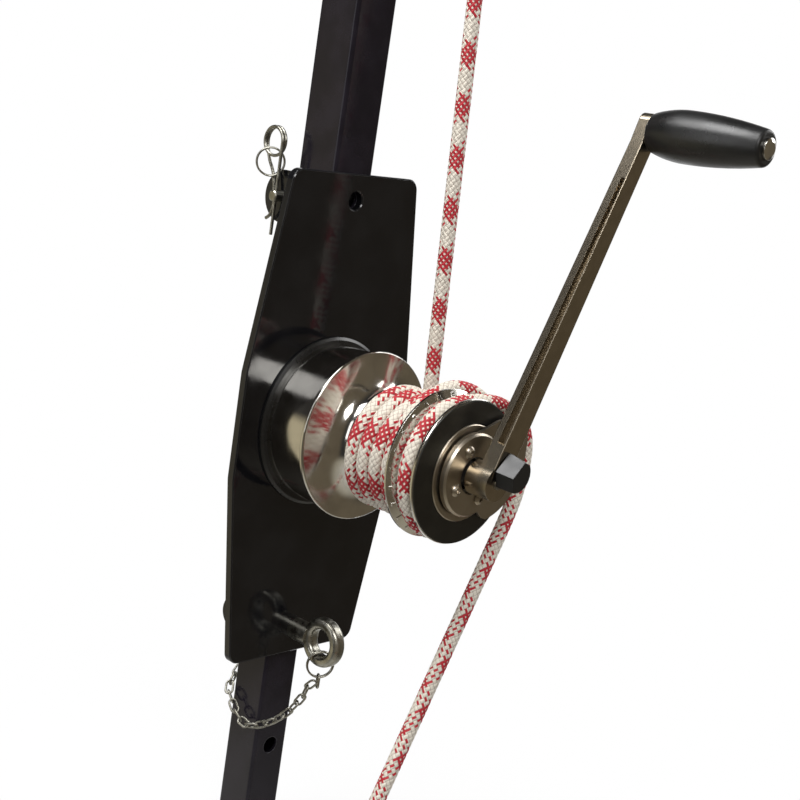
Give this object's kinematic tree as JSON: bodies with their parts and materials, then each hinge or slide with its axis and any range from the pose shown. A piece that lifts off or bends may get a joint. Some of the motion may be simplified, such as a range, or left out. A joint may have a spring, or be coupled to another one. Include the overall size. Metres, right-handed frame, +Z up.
{
  "type": "quadpod leg winch",
  "caption": "Hand-cranked self-tailing winch on a shaped plate pinned to a telescoping leg, with its rope wound on and a lock-in crank handle.",
  "frame": {"origin": "on the leg's centre line, level with the winch axis", "axes": "+Z up the leg, -Y out along the winch axis towards the operator, +X to the right as the operator faces the plate"},
  "size_m": [0.1842, 0.3376, 0.7289],
  "materials": {
    "leg_paint": "gloss black powder coat",
    "plate_paint": "mirror-gloss black enamel",
    "zinc_steel": "zinc plated",
    "polished_steel": "polished stainless steel",
    "satin_steel": "satin stainless steel",
    "dull_steel": "machined steel",
    "gear_bronze": "aluminium bronze",
    "bush_plastic": "white bearing plastic",
    "black_ring": "satin black anodised",
    "handle_steel": "polished stainless casting",
    "knob_plastic": "black moulded plastic",
    "grip_plastic": "fine-grained black plastic",
    "rope": "cream braid with red flecks"
  },
  "bodies": {
    "frame_and_stem": {"leg_outer_tube": "leg_paint", "leg_inner_tube": "leg_paint", "mounting_plate": "plate_paint", "upper_ears": "plate_paint", "lower_lugs": "plate_paint", "hitch_pin": "zinc_steel", "tether_chain": "zinc_steel", "chain_screw": "zinc_steel", "foot_ring": "knob_plastic", "pedestal": "polished_steel", "plate_bolts": "dull_steel", "winch_base": "dull_steel", "base_screws": "dull_steel", "stem": "dull_steel", "stem_screws": "dull_steel", "pawl_pins": "dull_steel", "pawl_springs": "dull_steel", "idler_axles": "dull_steel", "lower_bush": "bush_plastic", "upper_bush": "bush_plastic", "stem_collar": "satin_steel", "self_tailing_arm": "satin_steel", "top_cap": "satin_steel", "cap_screws": "satin_steel", "rope_winding": "rope", "rope_load_line": "rope", "load_eye": "rope", "rope_tail": "rope", "tail_knot": "rope"},
    "handle": {"spindle": "dull_steel", "spindle_circlip": "dull_steel", "crank_arm": "handle_steel", "drive_stud": "dull_steel", "grip_spindle": "polished_steel", "grip_washers": "polished_steel"},
    "lock": {"lock_knob": "knob_plastic", "lock_shaft": "dull_steel", "lock_plate": "dull_steel"},
    "grip": {"grip": "grip_plastic"},
    "drum": {"drum": "polished_steel", "ring_gear": "gear_bronze", "ratchet_ring": "dull_steel", "lower_jaw": "polished_steel", "upper_jaw": "polished_steel", "top_ring": "black_ring"},
    "idler_a": {"idler_gear_a": "gear_bronze"},
    "idler_b": {"idler_gear_b": "gear_bronze"},
    "pawl_1": {"check_pawl_1": "dull_steel"},
    "pawl_2": {"check_pawl_2": "dull_steel"},
    "clip": {"r_clip": "zinc_steel", "clip_ring": "zinc_steel"},
    "eye": {"eye_bolt": "zinc_steel", "eye_ring": "zinc_steel"}
  },
  "joints": [
    {"name": "handle_turn", "type": "hinge", "parent": "frame_and_stem", "child": "handle", "pos_m": [0, -0.13, 0], "axis": [0, 1, 0], "continuous": true},
    {"name": "lock_turn", "type": "hinge", "parent": "handle", "child": "lock", "pos_m": [0, -0.19, 0], "axis": [0, 1, 0], "range_deg": [0, 22.5]},
    {"name": "grip_spin", "type": "hinge", "parent": "handle", "child": "grip", "pos_m": [0.08562, -0.24, 0.23913], "axis": [0, 1, 0], "continuous": true},
    {"name": "drum_turn", "type": "hinge", "parent": "frame_and_stem", "child": "drum", "pos_m": [0, -0.11, 0], "axis": [0, 1, 0], "continuous": true},
    {"name": "idler_a_turn", "type": "hinge", "parent": "frame_and_stem", "child": "idler_a", "pos_m": [-0.01973, -0.0616, -0.00718], "axis": [0, 1, 0], "continuous": true},
    {"name": "idler_b_turn", "type": "hinge", "parent": "frame_and_stem", "child": "idler_b", "pos_m": [-0.01278, -0.0616, -0.02378], "axis": [0, 1, 0], "continuous": true},
    {"name": "pawl_1_swing", "type": "hinge", "parent": "frame_and_stem", "child": "pawl_1", "pos_m": [0.0196, -0.1195, 0], "axis": [0, -1, 0], "range_deg": [0, 14], "stiffness_Nm_per_rad": 0.05, "deforming": ["pawl_springs"]},
    {"name": "pawl_2_swing", "type": "hinge", "parent": "frame_and_stem", "child": "pawl_2", "pos_m": [-0.0196, -0.1195, 0], "axis": [0, -1, 0], "range_deg": [0, 14], "stiffness_Nm_per_rad": 0.05, "deforming": ["pawl_springs"]},
    {"name": "clip_pull", "type": "slide", "parent": "frame_and_stem", "child": "clip", "axis": [0, 0, 1], "range_m": [0, 0.045]},
    {"name": "eye_bolt_pull", "type": "slide", "parent": "frame_and_stem", "child": "eye", "axis": [0, -1, 0], "range_m": [0, 0.05], "deforming": ["tether_chain"]}
  ],
  "couplings": [
    {"joint": "drum_turn", "follows": "handle_turn", "ratio": 0.33333},
    {"joint": "idler_a_turn", "follows": "handle_turn", "ratio": -1.3333},
    {"joint": "idler_b_turn", "follows": "handle_turn", "ratio": 1.3333}
  ]
}
